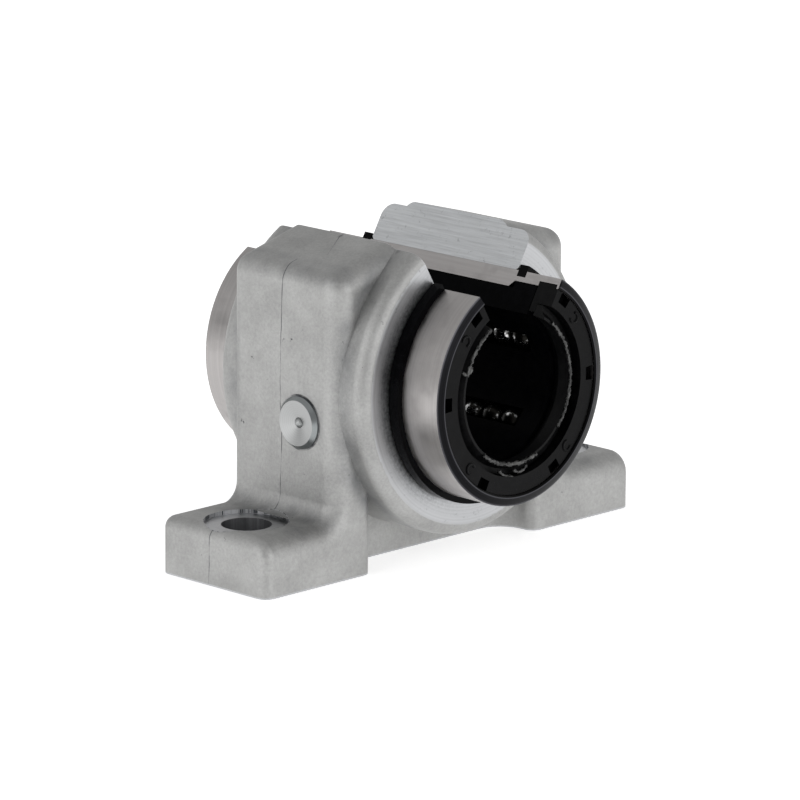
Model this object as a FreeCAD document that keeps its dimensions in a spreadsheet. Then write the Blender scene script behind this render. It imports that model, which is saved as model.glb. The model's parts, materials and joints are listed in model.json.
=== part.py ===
import FreeCAD, Part
import os
import re

import Sketcher

doc = FreeCAD.newDocument("linearBearingBlock")

# Frame: X runs from foot to foot, Y along the shaft, Z up from the machined base.
# Every body has its own origin on the bearing axis unless it says otherwise.

# Driving dimensions, in millimetres and degrees.
drivingSizes = [
    ("shaft_diameter", 20),
    ("slot_angle", 60),
    ("axis_height", 25),
    # casting
    ("base_width", 20.4),
    ("foot_length", 13.3),
    ("foot_thickness", 8),
    ("pillar_margin", 0.85),
    ("pillar_wall", 6.85),
    ("shoulder_height", 41.4),
    ("tower_tip_rise", 0.8),
    ("web_setback", 6.2),
    ("barrel_diameter", 43.3),
    ("barrel_length", 28),
    ("barrel_round", 2),
    ("hole_offset", 7),
    ("hole_diameter", 6.8),
    ("spotface_diameter", 11.5),
    ("spotface_depth", 0.55),
    ("foot_fillet", 2.5),
    ("shoulder_round", 2.5),
    ("corner_round", 1.7),
    ("tower_round", 3),
    ("web_fillet", 4),
    ("mouth_chamfer", 0.4),
    # outer sleeve
    ("sleeve_diameter", 32),
    ("sleeve_length", 45),
    ("relief_depth", 0.9),
    ("relief_length", 8.3),
    ("relief_taper", 0.8),
    ("groove_length", 3.3),
    ("groove_depth", 0.65),
    ("lip_length", 0.7),
    ("lip_diameter", 29.1),
    ("rim_slope", 0.35),
    ("rim_drop", 1),
    ("lip_chamfer", 0.2),
    # balls and cage
    ("ball_diameter", 3.5),
    ("ball_pitch", 3.6),
    ("balls_per_row", 8),
    ("ball_free_play", 0.05),
    ("low_row_angle", 50),
    ("high_row_angle", 110),
    ("cage_bore_gap", 0.25),
    ("cage_lip", 0.25),
    ("mouth_width", 2.8),
    ("channel_gap", 0.1),
    ("channel_end_gap", 0.4),
    # end rings and wiper seals
    ("ring_setback", 0.35),
    ("ring_bore_diameter", 24),
    ("ring_floor", 1),
    ("ring_floor_bore", 21.6),
    ("notch_width", 2),
    ("notch_radial", 1.4),
    ("notch_depth", 1.2),
    ("low_notch_angle", 30),
    ("side_notch_angle", 90),
    ("high_notch_angle", 142),
    ("wiper_body", 1.1),
    ("wiper_shoulder", 0.8),
    ("wiper_reach", 2.1),
    ("wiper_edge", 0.35),
    ("wiper_gap", 0.05),
    # retaining rings in the sleeve's outer grooves, just outside the barrel
    ("clip_play", 0.15),
    ("clip_groove_width", 1.6),
    ("clip_groove_depth", 0.85),
    ("clip_stand", 0.85),
    # lubrication nipple
    ("nipple_across", 3),
    ("nipple_drop", 4.2),
    ("nipple_diameter", 7.2),
    ("nipple_face_diameter", 6.2),
    ("nipple_stand", 0.8),
    ("nipple_edge", 0.25),
    ("nipple_seat_depth", 1.2),
    ("nipple_shank_diameter", 5),
    ("nipple_shank_length", 3),
    ("funnel_depth", 0.6),
    ("nipple_ball_diameter", 1.4),
    ("nipple_ball_sink", 0.25),
    # fits
    ("seat_gap", 0.02),
    ("piece_gap", 0.1),
    ("end_gap", 0.1),
]

# Sizes that follow from the driving ones; lengths along Y count from the middle.
derivedSizes = [
    ("barrel_radius", "barrel_diameter / 2"),
    ("half_pillar", "barrel_radius + pillar_margin"),
    ("half_base", "half_pillar + foot_length"),
    ("block_inner", "half_pillar - pillar_wall"),
    ("hole_across", "half_pillar + hole_offset"),
    ("foot_top", "foot_thickness - axis_height"),
    ("web_thickness", "base_width - 2 * web_setback"),
    ("shoulder_top", "shoulder_height - axis_height"),
    ("tip_across", "(barrel_radius + tower_tip_rise) * sin(slot_angle / 2)"),
    ("tip_up", "(barrel_radius + tower_tip_rise) * cos(slot_angle / 2)"),
    ("tower_slope", "(tip_up - shoulder_top) / (half_pillar - tip_across)"),
    ("peak_up", "tip_up + tip_across * tower_slope"),
    ("slot_across", "barrel_diameter * tan(slot_angle / 2)"),
    ("barrel_end", "barrel_length / 2"),
    ("sleeve_radius", "sleeve_diameter / 2"),
    ("bore_radius", "sleeve_radius + seat_gap"),
    ("clip_start", "barrel_end + clip_play"),
    ("clip_end", "clip_start + clip_groove_width"),
    ("clip_floor", "sleeve_radius - clip_groove_depth"),
    ("clip_outer", "sleeve_radius + clip_stand"),
    ("sleeve_end", "sleeve_length / 2"),
    ("lip_end", "sleeve_end - lip_length"),
    ("groove_floor", "lip_end - groove_length"),
    ("relief_end", "sleeve_end - relief_length"),
    ("relief_floor", "relief_end - relief_taper"),
    ("ball_circle", "(shaft_diameter + ball_diameter) / 2 + ball_free_play"),
    ("race_radius", "ball_circle + ball_diameter / 2 + seat_gap"),
    ("relief_radius", "race_radius + relief_depth"),
    ("groove_radius", "relief_radius + groove_depth"),
    ("lip_radius", "lip_diameter / 2"),
    ("row_half", "(balls_per_row - 1) / 2 * ball_pitch + ball_diameter / 2"),
    ("channel_end", "row_half + channel_end_gap"),
    ("cage_bore", "shaft_diameter / 2 + cage_bore_gap"),
    ("cage_lip_radius", "cage_bore + cage_lip"),
    ("cage_radius", "race_radius - piece_gap"),
    ("mouth_span", "2 * asin(mouth_width / 2 / cage_bore)"),
    ("channel_span", "2 * asin((ball_diameter / 2 + channel_gap) / ball_circle)"),
    ("cage_shoulder", "relief_radius - piece_gap"),
    ("cage_step", "relief_end + end_gap"),
    ("cage_end", "groove_floor - end_gap"),
    ("flange_radius", "groove_radius - piece_gap"),
    ("flange_back", "groove_floor + end_gap / 2"),
    ("flange_front", "lip_end - end_gap"),
    ("ring_radius", "lip_radius - piece_gap"),
    ("ring_face", "sleeve_end - ring_setback"),
    ("ring_floor_face", "flange_back + ring_floor"),
    ("ring_bore", "ring_bore_diameter / 2"),
    ("floor_bore", "ring_floor_bore / 2"),
    ("notch_inner", "ring_radius - notch_radial"),
    ("notch_floor", "ring_face - notch_depth"),
    ("notch_span", "2 * asin(notch_width / 2 / ring_radius)"),
    ("wiper_back", "ring_floor_face + end_gap / 2"),
    ("wiper_front", "wiper_back + wiper_body"),
    ("wiper_tip", "wiper_back + wiper_reach"),
    ("wiper_outer", "ring_bore - piece_gap"),
    ("wiper_lip", "shaft_diameter / 2 + wiper_gap"),
    ("nipple_radius", "nipple_diameter / 2"),
    ("nipple_ball_radius", "nipple_ball_diameter / 2"),
    ("nipple_shank_end", "nipple_seat_depth + nipple_shank_length"),
    ("funnel_floor", "funnel_depth - nipple_stand"),
    ("ball_seat_floor", "funnel_floor + nipple_ball_radius + nipple_ball_sink"),
]

sheet = doc.addObject("Spreadsheet::Sheet", "sizes")
for row, (alias, size) in enumerate(drivingSizes, start=1):
    sheet.set("A%d" % row, alias)
    sheet.set("B%d" % row, str(size))
    sheet.setAlias("B%d" % row, alias)
for row, (alias, formula) in enumerate(derivedSizes, start=len(drivingSizes) + 2):
    sheet.set("A%d" % row, alias)
    sheet.set("B%d" % row, "=" + formula)
    sheet.setAlias("B%d" % row, alias)
doc.recompute()


def number(alias):
    return float(sheet.get(alias))


def bound(formula):
    """The formula with each size read from the sheet."""
    return re.sub(r"[a-z]+(_[a-z]+)+", r"sizes.\g<0>", formula)


def newBody(label, across="0", along="0", up="axis_height"):
    body = doc.addObject("PartDesign::Body", label)
    body.Label = label
    body.setExpression(".Placement.Base.x", bound(across))
    body.setExpression(".Placement.Base.y", bound(along))
    body.setExpression(".Placement.Base.z", bound(up))
    return body


def newSketch(body, name, role, offset="0", turn=None):
    """A sketch on one of the body's origin planes, moved off it or turned about its own X."""
    sketch = body.newObject("Sketcher::SketchObject", name)
    plane = [feature for feature in body.Origin.OriginFeatures if feature.Role == role][0]
    sketch.AttachmentSupport = (plane, [""])
    sketch.MapMode = "FlatFace"
    if offset != "0":
        sketch.setExpression(".AttachmentOffset.Base.z", bound(offset))
    if turn is not None:
        tilted = FreeCAD.Rotation(FreeCAD.Vector(1, 0, 0), 10)
        sketch.AttachmentOffset = FreeCAD.Placement(FreeCAD.Vector(), tilted)
        sketch.setExpression(".AttachmentOffset.Rotation.Angle", bound(turn))
    return sketch


def hold(sketch, kind, element, point, formula):
    """Ties one coordinate of a sketch point to its formula."""
    rule = sketch.addConstraint(Sketcher.Constraint(kind, -1, 1, element, point, 1.0))
    sketch.setExpression("Constraints[%d]" % rule, bound(formula))


def addOutline(sketch, corners):
    """A closed outline of straight lines through the corners, each tied to its two formulas."""
    count = len(corners)
    first = sketch.GeometryCount
    for index in range(count):
        start = FreeCAD.Vector(index, index * index, 0)
        end = FreeCAD.Vector((index + 1) % count, ((index + 1) % count) ** 2, 0)
        sketch.addGeometry(Part.LineSegment(start, end), False)
    for index in range(count):
        following = first + (index + 1) % count
        sketch.addConstraint(Sketcher.Constraint("Coincident", first + index, 2, following, 1))
    for index, (across, up) in enumerate(corners):
        hold(sketch, "DistanceX", first + index, 1, across)
        hold(sketch, "DistanceY", first + index, 1, up)


def addCircle(sketch, across, up, diameter):
    circle = sketch.addGeometry(Part.Circle(FreeCAD.Vector(1, 1, 0), FreeCAD.Vector(0, 0, 1), 1), False)
    hold(sketch, "DistanceX", circle, 3, across)
    hold(sketch, "DistanceY", circle, 3, up)
    rule = sketch.addConstraint(Sketcher.Constraint("Diameter", circle, 2.0))
    sketch.setExpression("Constraints[%d]" % rule, bound(diameter))


def addFeature(body, kind, name, sketch):
    feature = body.newObject("PartDesign::" + kind, name)
    feature.Profile = sketch
    return feature


def addPad(body, name, sketch, length):
    pad = addFeature(body, "Pad", name, sketch)
    pad.SideType = "Symmetric"
    pad.setExpression("Length", bound(length))
    return pad


def turnOutline(body, kind, name, corners, span, turn=None):
    """Revolves or grooves an outline of (along Y, radius) corners about the body's Y axis.

    The outline hangs below the axis and sweeps half the span to each side of there.
    """
    sketch = newSketch(body, name + "Sketch", "YZ_Plane", turn=turn)
    addOutline(sketch, [(along, "-(%s)" % radius) for along, radius in corners])
    feature = addFeature(body, kind, name, sketch)
    feature.ReferenceAxis = (sketch, ["H_Axis"])
    feature.Midplane = True
    feature.setExpression("Angle", bound(span))
    doc.recompute()
    return feature


def bothEnds(corners):
    """An outline drawn from the middle to the rear end, closed by its mirror image in front."""
    return corners + [("-(%s)" % along, radius) for along, radius in reversed(corners)]


def oneEnd(corners, side):
    """An outline of a piece at the rear end (side 1) or at the front end (side -1)."""
    return corners if side > 0 else [("-(%s)" % along, radius) for along, radius in corners]


def realEdges(shape):
    """(edge name, edge, middle) of each edge that has a curve."""
    found = []
    for index, edge in enumerate(shape.Edges, start=1):
        if not edge.Degenerated:
            middle = edge.valueAt((edge.FirstParameter + edge.LastParameter) / 2)
            found.append(("Edge%d" % index, edge, middle))
    return found


def straightEdges(shape, direction):
    """(edge name, middle) of each straight edge along a direction."""
    found = []
    for name, edge, middle in realEdges(shape):
        if isinstance(edge.Curve, Part.Line) and abs(edge.Curve.Direction.dot(direction)) > 0.999:
            found.append((name, middle))
    return found


def addFillet(body, name, edges, radius):
    base = body.Tip
    fillet = body.newObject("PartDesign::Fillet", name)
    fillet.Base = (base, edges)
    fillet.setExpression("Radius", bound(radius))
    doc.recompute()
    return fillet


openSpan = "360 - slot_angle"
sides = {"front": -1, "rear": 1}
rowAngles = {
    "ball_row_1": "-high_row_angle",
    "ball_row_2": "-low_row_angle",
    "ball_row_3": "0",
    "ball_row_4": "low_row_angle",
    "ball_row_5": "high_row_angle",
}
notchAngles = ["low_notch_angle", "side_notch_angle", "high_notch_angle"]
alongY = FreeCAD.Vector(0, 1, 0)
alongZ = FreeCAD.Vector(0, 0, 1)


def near(value, target):
    return abs(value - target) < 0.01


def makeHousing():
    """The casting: an arch of feet, pillars and towers, a thin web, and the barrel across it."""
    body = newBody("housing")
    sketch = newSketch(body, "ArchSketch", "XZ_Plane")
    rightHalf = [
        ("block_inner", "0"),
        ("block_inner", "-axis_height"),
        ("half_base", "-axis_height"),
        ("half_base", "foot_top"),
        ("half_pillar", "foot_top"),
        ("half_pillar", "shoulder_top"),
    ]
    leftHalf = [("-(%s)" % across, up) for across, up in reversed(rightHalf)]
    addOutline(sketch, rightHalf + [("0", "peak_up")] + leftHalf)
    addPad(body, "Arch", sketch, "base_width")
    sketch = newSketch(body, "WebSketch", "XZ_Plane")
    addOutline(sketch, [
        ("-block_inner - corner_round", "-axis_height"),
        ("block_inner + corner_round", "-axis_height"),
        ("block_inner + corner_round", "0"),
        ("-block_inner - corner_round", "0"),
    ])
    addPad(body, "Web", sketch, "web_thickness")
    doc.recompute()

    inner = number("block_inner")
    base = number("half_base")
    pillar = number("half_pillar")
    face = number("base_width") / 2
    webFace = number("web_thickness") / 2
    top = number("foot_top")
    shoulder = number("shoulder_top")
    upright = straightEdges(body.Tip.Shape, alongZ)
    inWeb = [name for name, at in upright if near(abs(at.x), inner) and near(abs(at.y), webFace)]
    addFillet(body, "WebFillet", inWeb, "web_fillet")
    across = straightEdges(body.Tip.Shape, alongY)
    roots = [name for name, at in across if near(abs(at.x), pillar) and near(at.z, top)]
    addFillet(body, "FootFillet", roots, "foot_fillet")
    across = straightEdges(body.Tip.Shape, alongY)
    shoulders = [name for name, at in across if near(abs(at.x), pillar) and near(at.z, shoulder)]
    addFillet(body, "ShoulderRound", shoulders, "shoulder_round")

    # The towers' front edges are rounder than the rest.
    tops = []
    for name, edge, middle in realEdges(body.Tip.Shape):
        if near(middle.y, -face) and middle.z > shoulder + number("shoulder_round"):
            tops.append(name)
    addFillet(body, "TowerRound", tops, "tower_round")

    # All other edges of the arch's two faces and of the foot ends are rounded alike, bar the base.
    rims = []
    floor = -number("axis_height")
    for name, edge, middle in realEdges(body.Tip.Shape):
        onFace = near(abs(middle.y), face) and middle.z > floor + 0.01
        inside = near(middle.z, 0)
        footEnd = near(abs(middle.x), base) and near(middle.z, top)
        if (onFace and not inside) or footEnd:
            rims.append(name)
    addFillet(body, "ArchRound", rims, "corner_round")

    turnOutline(body, "Revolution", "Barrel", [
        ("-barrel_end", "bore_radius / 2"),
        ("-barrel_end", "barrel_radius"),
        ("barrel_end", "barrel_radius"),
        ("barrel_end", "bore_radius / 2"),
    ], "360")
    ends = []
    for name, edge, middle in realEdges(body.Tip.Shape):
        atEnd = near(abs(middle.y), number("barrel_end"))
        if atEnd and isinstance(edge.Curve, Part.Circle) and near(edge.Curve.Radius, number("barrel_radius")):
            ends.append(name)
    addFillet(body, "BarrelRound", ends, "barrel_round")

    turnOutline(body, "Groove", "Bore", bothEnds([
        ("barrel_end - mouth_chamfer", "bore_radius"),
        ("barrel_end", "bore_radius + mouth_chamfer"),
        ("barrel_end + 1", "bore_radius + mouth_chamfer"),
        ("barrel_end + 1", "0"),
    ]), "360")

    sketch = newSketch(body, "SlotSketch", "XZ_Plane")
    addOutline(sketch, [("0", "0"), ("slot_across", "barrel_diameter"), ("-slot_across", "barrel_diameter")])
    slot = addFeature(body, "Pocket", "Slot", sketch)
    slot.SideType = "Symmetric"
    slot.setExpression("Length", bound("2 * barrel_length"))
    doc.recompute()

    sketch = newSketch(body, "FootHoleSketch", "XY_Plane", "foot_top")
    addCircle(sketch, "hole_across", "0", "hole_diameter")
    addCircle(sketch, "-hole_across", "0", "hole_diameter")
    doc.recompute()
    holes = addFeature(body, "Hole", "FootHoles", sketch)
    holes.DepthType = "ThroughAll"
    holes.HoleCutType = "Counterbore"
    holes.HoleCutCustomValues = True
    holes.setExpression("Diameter", bound("hole_diameter"))
    holes.setExpression("HoleCutDiameter", bound("spotface_diameter"))
    holes.setExpression("HoleCutDepth", bound("spotface_depth"))
    doc.recompute()

    for name, diameter, depth in (
        ("NippleSeat", "nipple_diameter", "nipple_seat_depth"),
        ("NippleShankHole", "nipple_shank_diameter", "nipple_shank_end + end_gap"),
    ):
        sketch = newSketch(body, name + "Sketch", "YZ_Plane", "-half_pillar")
        addCircle(sketch, "-nipple_across", "-nipple_drop", diameter + " + 2 * seat_gap")
        pocket = addFeature(body, "Pocket", name, sketch)
        pocket.Reversed = True
        pocket.setExpression("Length", bound(depth))
        doc.recompute()
    return body


def makeSleeve():
    """The steel sleeve: a smooth raceway, reliefs and snap grooves inside, ring grooves outside."""
    body = newBody("outer_sleeve")
    turnOutline(body, "Revolution", "Shell", bothEnds([
        ("relief_floor", "race_radius"),
        ("relief_end", "relief_radius"),
        ("groove_floor", "relief_radius"),
        ("groove_floor", "groove_radius"),
        ("lip_end", "groove_radius"),
        ("lip_end", "lip_radius"),
        ("sleeve_end - lip_chamfer", "lip_radius"),
        ("sleeve_end", "lip_radius + lip_chamfer"),
        ("sleeve_end", "sleeve_radius - rim_drop"),
        ("sleeve_end - rim_slope", "sleeve_radius"),
        ("clip_end", "sleeve_radius"),
        ("clip_end", "clip_floor"),
        ("clip_start", "clip_floor"),
        ("clip_start", "sleeve_radius"),
    ]), openSpan)
    return body


def makeCage():
    """The plastic cage, with a channel for each ball row that opens to the shaft through a mouth."""
    body = newBody("ball_cage")
    turnOutline(body, "Revolution", "Shell", bothEnds([
        ("cage_step", "cage_radius"),
        ("cage_step", "cage_shoulder"),
        ("cage_end", "cage_shoulder"),
        ("cage_end", "cage_bore"),
    ]), openSpan)
    for name, angle in rowAngles.items():
        turnOutline(body, "Groove", name.replace("ball_row_", "Channel"), bothEnds([
            ("channel_end", "cage_lip_radius"),
            ("channel_end", "race_radius + seat_gap"),
        ]), "channel_span", turn=angle)
        turnOutline(body, "Groove", name.replace("ball_row_", "Mouth"), bothEnds([
            ("channel_end", "cage_bore - piece_gap"),
            ("channel_end", "cage_lip_radius + piece_gap"),
        ]), "mouth_span", turn=angle)
    return body


def makeEndRing(label, side):
    """The plastic ring snapped into the sleeve's mouth, with six latch notches in its face."""
    body = newBody(label)
    turnOutline(body, "Revolution", "Ring", oneEnd([
        ("flange_back", "floor_bore"),
        ("flange_back", "flange_radius"),
        ("flange_front", "flange_radius"),
        ("flange_front", "ring_radius"),
        ("ring_face", "ring_radius"),
        ("ring_face", "ring_bore"),
        ("ring_floor_face", "ring_bore"),
        ("ring_floor_face", "floor_bore"),
    ], side), openSpan)
    for angle in notchAngles:
        for sign in ("", "-"):
            name = angle.split("_")[0].capitalize() + "Notch" + ("Left" if sign else "Right")
            turnOutline(body, "Groove", name, oneEnd([
                ("notch_floor", "notch_inner"),
                ("notch_floor", "groove_radius"),
                ("ring_face + 1", "groove_radius"),
                ("ring_face + 1", "notch_inner"),
            ], side), "notch_span", turn=sign + angle)
    return body


def makeWiper(label, side):
    """The rubber wiper in the end ring, whose thin lip rises outwards to the shaft."""
    body = newBody(label)
    turnOutline(body, "Revolution", "Wiper", oneEnd([
        ("wiper_back", "wiper_outer"),
        ("wiper_front", "wiper_outer"),
        ("wiper_front", "wiper_outer - wiper_shoulder"),
        ("wiper_tip", "wiper_lip + wiper_edge"),
        ("wiper_tip", "wiper_lip"),
        ("wiper_back", "wiper_outer - 2 * wiper_shoulder"),
    ], side), openSpan)
    return body


def makeRetainingRing(label, side):
    """The open ring in the sleeve's outer groove, which keeps the sleeve from sliding endways."""
    body = newBody(label)
    turnOutline(body, "Revolution", "Ring", oneEnd([
        ("clip_start + end_gap / 2", "clip_floor + seat_gap"),
        ("clip_start + end_gap / 2", "clip_outer"),
        ("clip_end - end_gap / 2", "clip_outer"),
        ("clip_end - end_gap / 2", "clip_floor + seat_gap"),
    ], side), openSpan)
    return body


def makeNipple():
    """The drive-in nipple; its body's origin is where its axis meets the pillar's side."""
    body = newBody("lubrication_nipple", "-half_pillar", "-nipple_across", "axis_height - nipple_drop")
    sketch = newSketch(body, "NippleSketch", "XZ_Plane")
    addOutline(sketch, [
        ("nipple_shank_end", "0"),
        ("nipple_shank_end", "nipple_shank_diameter / 2"),
        ("nipple_seat_depth", "nipple_shank_diameter / 2"),
        ("nipple_seat_depth", "nipple_radius"),
        ("-nipple_edge", "nipple_radius"),
        ("-nipple_stand", "nipple_face_diameter / 2"),
        ("funnel_floor", "nipple_ball_radius + seat_gap"),
        ("ball_seat_floor", "nipple_ball_radius + seat_gap"),
        ("ball_seat_floor", "0"),
    ])
    turned = addFeature(body, "Revolution", "Turned", sketch)
    turned.ReferenceAxis = (sketch, ["H_Axis"])
    turned.Angle = 360
    doc.recompute()
    return body


def addBall(name, diameter, across, along, up):
    ball = doc.addObject("Part::Sphere", name)
    ball.setExpression("Radius", bound(diameter + " / 2"))
    ball.setExpression(".Placement.Base.x", bound(across))
    ball.setExpression(".Placement.Base.y", bound(along))
    ball.setExpression(".Placement.Base.z", bound(up))
    return ball


def makeBallRow(label, angle):
    """One loaded row of balls, evenly spaced along the shaft."""
    balls = []
    for index in range(int(number("balls_per_row"))):
        balls.append(addBall(
            "%s_ball_%d" % (label, index + 1),
            "ball_diameter",
            "ball_circle * sin(%s)" % angle,
            "(%d - (balls_per_row - 1) / 2) * ball_pitch" % index,
            "axis_height - ball_circle * cos(%s)" % angle,
        ))
    row = doc.addObject("Part::Compound", label)
    row.Links = balls
    return row


pieces = {
    "housing": makeHousing(),
    "lubrication_nipple": makeNipple(),
    "nipple_ball": addBall(
        "nipple_ball",
        "nipple_ball_diameter",
        "-half_pillar + ball_seat_floor - nipple_ball_radius - seat_gap",
        "-nipple_across",
        "axis_height - nipple_drop",
    ),
    "outer_sleeve": makeSleeve(),
    "ball_cage": makeCage(),
}
for end, side in sides.items():
    pieces[end + "_end_ring"] = makeEndRing(end + "_end_ring", side)
    pieces[end + "_wiper_seal"] = makeWiper(end + "_wiper_seal", side)
    pieces[end + "_retaining_ring"] = makeRetainingRing(end + "_retaining_ring", side)
for name, angle in rowAngles.items():
    pieces[name] = makeBallRow(name, angle)
doc.recompute()

for thing in doc.Objects:
    if "Invalid" in thing.State or "Error" in thing.State:
        raise RuntimeError("%s did not recompute: %s" % (thing.Label, thing.State))
for name, piece in pieces.items():
    piece.Label = name
    if piece.Shape.isNull() or not piece.Shape.isValid() or not piece.Shape.Solids:
        raise RuntimeError("%s has no valid solid" % name)

os.makedirs("parts", exist_ok=True)
for name, piece in pieces.items():
    piece.Shape.exportStep("parts/%s.step" % name)
    print(name, len(piece.Shape.Solids), round(piece.Shape.Volume, 1))
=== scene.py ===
import bpy
import json
import math
from mathutils import Matrix, Vector


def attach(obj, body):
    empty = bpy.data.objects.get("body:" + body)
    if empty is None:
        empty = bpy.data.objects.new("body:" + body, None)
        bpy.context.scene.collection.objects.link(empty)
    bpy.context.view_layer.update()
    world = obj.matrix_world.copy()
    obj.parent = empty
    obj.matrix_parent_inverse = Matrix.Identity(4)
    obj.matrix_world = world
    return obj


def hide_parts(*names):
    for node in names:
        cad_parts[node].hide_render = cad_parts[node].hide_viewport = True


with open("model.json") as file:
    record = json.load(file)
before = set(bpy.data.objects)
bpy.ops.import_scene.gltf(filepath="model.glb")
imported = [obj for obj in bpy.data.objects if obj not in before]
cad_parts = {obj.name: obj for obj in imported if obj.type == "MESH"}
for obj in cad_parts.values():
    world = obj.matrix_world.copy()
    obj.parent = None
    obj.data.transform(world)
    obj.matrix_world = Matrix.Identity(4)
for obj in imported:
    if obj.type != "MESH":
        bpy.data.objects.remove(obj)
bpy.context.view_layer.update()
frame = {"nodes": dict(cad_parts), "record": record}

mm = 0.001
slots = {part["node"]: part["material_slot"] for part in frame["record"]["subparts"]}
print("frame loaded:", len(frame["nodes"]), "nodes")

# Sizes in mm that place the finishes and small pieces. The axis is counted from the base, other heights from the axis.
blockSizes = {
    "axisHeight": 25,
    "boltAcross": 29.5,
    "boltRadius": 3.4,
    "spotfaceRadius": 5.75,
    "spotfaceFloor": -17.55,
    "footTop": -17.0,
    "barrelFace": 14.0,
    "boreRadius": 16.0,
    "slotMiddle": 20.0,
    "slotReach": 8.0,
    "slotLean": 30,
    "pillarSide": -22.5,
    "nippleAxis": (0, -3.0, -4.2),
    "nippleSeat": 3.7,
    "ringFace": 22.15,
    "touch": 0.03,
    "clear": 0.05,
}


def linear(hexColour):
    values = [int(hexColour[i:i + 2], 16) / 255 for i in (1, 3, 5)]
    return tuple(v / 12.92 if v <= 0.04045 else ((v + 0.055) / 1.055) ** 2.4 for v in values) + (1.0,)


def grey(value):
    return (value, value, value, 1.0)


# Adds a node. Inputs are values, nodes or sockets; stops are a colour ramp's positions and colours.
def addNode(tree, kind, settings, inputs, stops=()):
    node = tree.nodes.new("ShaderNode" + kind)
    for name, value in settings.items():
        setattr(node, name, value)
    for name, value in inputs.items():
        if isinstance(value, bpy.types.Node):
            value = value.outputs[0]
        if isinstance(value, bpy.types.NodeSocket):
            tree.links.new(value, node.inputs[name])
        else:
            node.inputs[name].default_value = value
    for index, (position, colour) in enumerate(stops):
        if index > 1:
            node.color_ramp.elements.new(position)
        node.color_ramp.elements[index].position = position
        node.color_ramp.elements[index].color = colour
    return node


# Settings that many nodes share.
colourMix = {"data_type": "RGBA"}
tint = {"data_type": "RGBA", "blend_type": "MULTIPLY"}
numberMix = {"data_type": "FLOAT"}
both = {"operation": "MULTIPLY", "use_clamp": True}
either = {"operation": "MAXIMUM", "use_clamp": True}


def newTree(data):
    data.use_nodes = True
    data.node_tree.nodes.clear()
    return data.node_tree


def deselectAll():
    if bpy.context.object and bpy.context.object.mode != "OBJECT":
        bpy.ops.object.mode_set(mode="OBJECT")
    bpy.ops.object.select_all(action="DESELECT")


# Camera: over the block's left front corner, a little from above.
cameraLook = {
    "azimuth": -45.497,
    "elevation": 13.57,
    "roll": 0.427,
    "distance": 0.7611,
    "lens": 248.5,
    "sensor": 36,
    "nearest": 0.05,
    "farthest": 20,
    "aimRight": -0.000251,
    "aimUp": 0.019064,
}


def makeCamera():
    azimuth = math.radians(cameraLook["azimuth"])
    elevation = math.radians(cameraLook["elevation"])
    roll = math.radians(cameraLook["roll"])
    level = math.cos(elevation)
    back = Vector((math.sin(azimuth) * level, -math.cos(azimuth) * level, math.sin(elevation)))
    right = Vector((math.cos(azimuth), math.sin(azimuth), 0))
    up = back.cross(right)
    data = bpy.data.cameras.new("camera")
    data.lens = cameraLook["lens"]
    data.sensor_width = cameraLook["sensor"]
    data.clip_start = cameraLook["nearest"]
    data.clip_end = cameraLook["farthest"]
    camera = bpy.data.objects.new("camera", data)
    bpy.context.scene.collection.objects.link(camera)
    turned = Matrix((
        right * math.cos(roll) + up * math.sin(roll),
        up * math.cos(roll) - right * math.sin(roll),
        back,
    )).transposed()
    aim = right * cameraLook["aimRight"] + up * cameraLook["aimUp"]
    camera.matrix_world = Matrix.Translation(aim + back * cameraLook["distance"]) @ turned.to_4x4()
    bpy.context.scene.camera = camera


# Room: an even studio, brighter round the horizon than overhead, white where the camera looks.
roomLook = {
    "sky": ((0.0, 0.85), (0.5, 0.84), (0.62, 0.76), (0.9, 0.55)),
    "dimSides": {
        "behindLeft": {"towards": (-0.7, 0.71, -0.1), "start": 0.82, "full": 0.98, "depth": 0.45},
        "behindCamera": {"towards": (-0.69, -0.69, 0.2), "start": 0.78, "full": 0.95, "depth": 0.5},
    },
    "floorSize": 3.0,
    "floorDrop": 0.0001,
    "floorGlow": 0.64,
    "floorSeen": 0.62,
    "paper": "#f2f2f2",
}


def makeWorld():
    bpy.context.scene.view_settings.view_transform = "Standard"
    world = bpy.data.worlds.new("studio")
    bpy.context.scene.world = world
    tree = newTree(world)
    direction = addNode(tree, "TexCoord", {}, {}).outputs["Generated"]
    upward = addNode(tree, "SeparateXYZ", {}, {0: direction}).outputs["Z"]
    height = addNode(tree, "MapRange", {}, {0: upward, 1: -1.0, 2: 1.0})
    stops = [(position, grey(level)) for position, level in roomLook["sky"]]
    light = addNode(tree, "ValToRGB", {}, {0: height}, stops)
    for side in roomLook["dimSides"].values():
        facing = addNode(tree, "VectorMath", {"operation": "DOT_PRODUCT"}, {0: direction, 1: side["towards"]})
        dim = addNode(tree, "MapRange", {"interpolation_type": "SMOOTHSTEP"}, {
            0: facing.outputs["Value"], 1: side["start"], 2: side["full"], 3: 1.0, 4: 1.0 - side["depth"],
        })
        light = addNode(tree, "VectorMath", {"operation": "SCALE"}, {0: light, "Scale": dim})
    path = addNode(tree, "LightPath", {}, {})
    seen = addNode(tree, "Mix", colourMix, {0: path.outputs["Is Camera Ray"], 6: light, 7: grey(1.0)})
    background = addNode(tree, "Background", {}, {"Color": seen.outputs[2], "Strength": 1.0})
    addNode(tree, "OutputWorld", {}, {0: background})


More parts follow.
